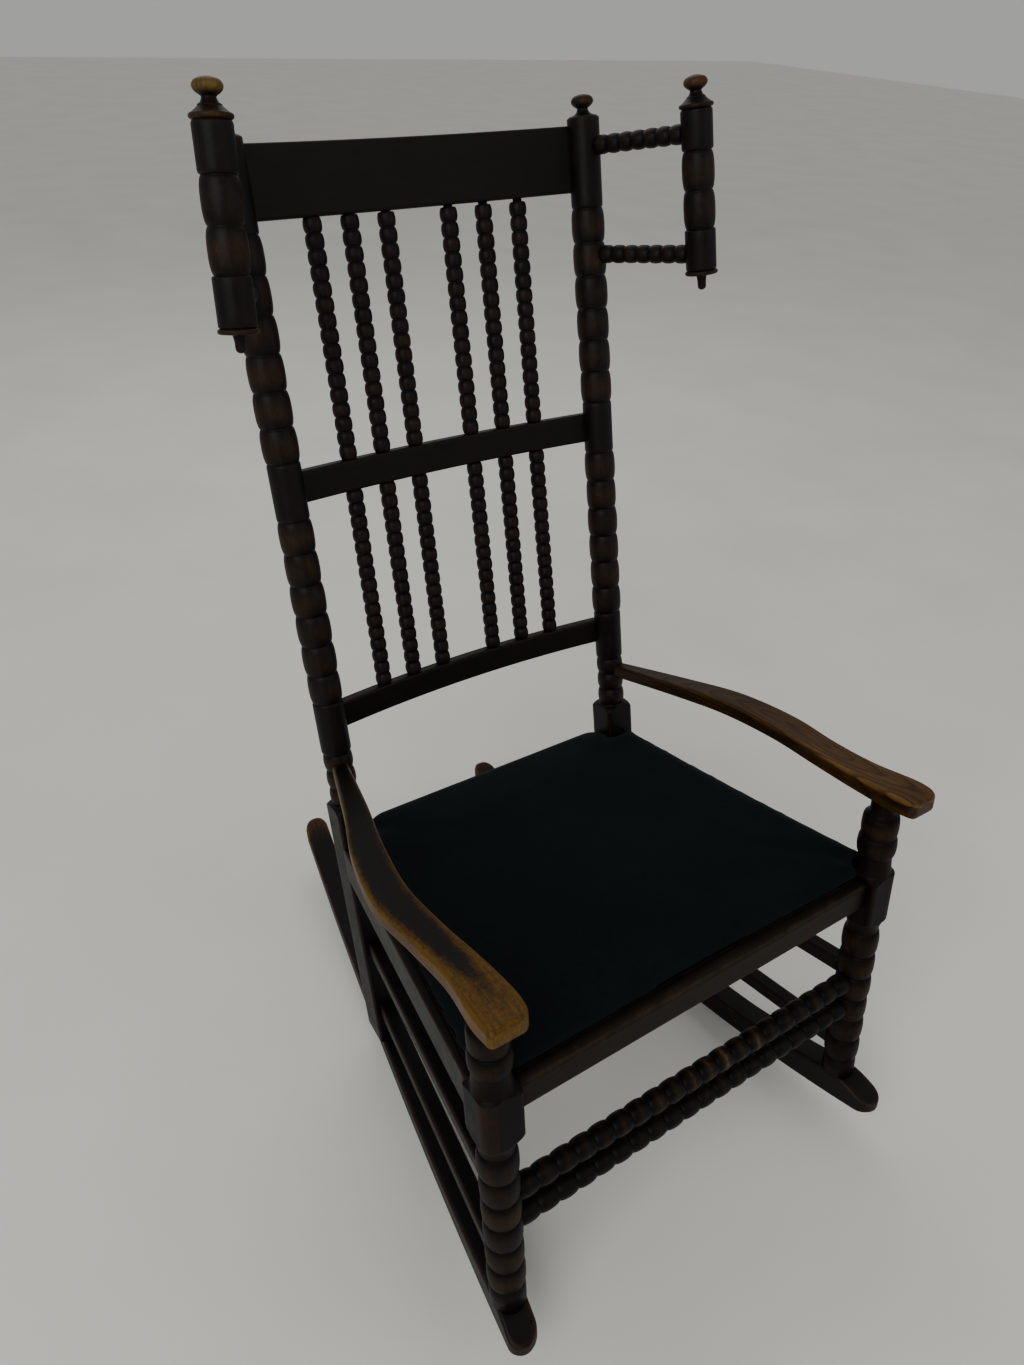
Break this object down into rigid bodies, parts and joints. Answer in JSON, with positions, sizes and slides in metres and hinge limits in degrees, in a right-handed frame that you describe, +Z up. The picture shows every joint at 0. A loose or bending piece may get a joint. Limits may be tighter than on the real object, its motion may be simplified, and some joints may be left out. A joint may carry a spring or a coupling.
{
  "type": "rocking chair",
  "caption": "Dark stained bobbin-turned rocking chair with a tall spindle back, small wings on spindles, worn shaped arms, mushroom finials and a dark green velvet seat pad",
  "frame": {"origin": "On the floor under the middle of the chair's overall box, where the rockers touch the floor at rest.", "axes": "+X to the right of someone looking at the chair's front, +Y from the front towards the back, +Z up."},
  "size_m": [0.5754, 0.8062, 1.1412],
  "materials": {
    "stained_wood": "satin",
    "worn_wood": "satin",
    "plain_board": "matte",
    "velvet": "matte"
  },
  "bodies": {
    "root": {"back_post_left": "stained_wood", "back_post_right": "stained_wood", "front_post_left": "stained_wood", "front_post_right": "stained_wood", "wing_post_left": "stained_wood", "wing_post_right": "stained_wood", "wing_spindle_upper_left": "stained_wood", "wing_spindle_upper_right": "stained_wood", "wing_spindle_lower_left": "stained_wood", "wing_spindle_lower_right": "stained_wood", "arm_left": "worn_wood", "arm_right": "worn_wood", "seat_rail_side_left": "stained_wood", "seat_rail_side_right": "stained_wood", "side_stretcher_upper_left": "stained_wood", "side_stretcher_upper_right": "stained_wood", "side_stretcher_lower_left": "stained_wood", "side_stretcher_lower_right": "stained_wood", "rocker_left": "stained_wood", "rocker_right": "stained_wood", "rocker_pin_left": "stained_wood", "rocker_pin_right": "stained_wood", "top_rail": "stained_wood", "middle_rail": "stained_wood", "lower_rail": "stained_wood", "spindle_upper_1": "stained_wood", "spindle_upper_2": "stained_wood", "spindle_upper_3": "stained_wood", "spindle_upper_4": "stained_wood", "spindle_upper_5": "stained_wood", "spindle_upper_6": "stained_wood", "spindle_lower_1": "stained_wood", "spindle_lower_2": "stained_wood", "spindle_lower_3": "stained_wood", "spindle_lower_4": "stained_wood", "spindle_lower_5": "stained_wood", "spindle_lower_6": "stained_wood", "seat_rail_front": "stained_wood", "seat_rail_back": "stained_wood", "front_stretcher_upper": "stained_wood", "front_stretcher_lower": "stained_wood", "back_stretcher": "stained_wood", "seat_board": "plain_board", "seat_pad": "velvet"}
  },
  "joints": []
}
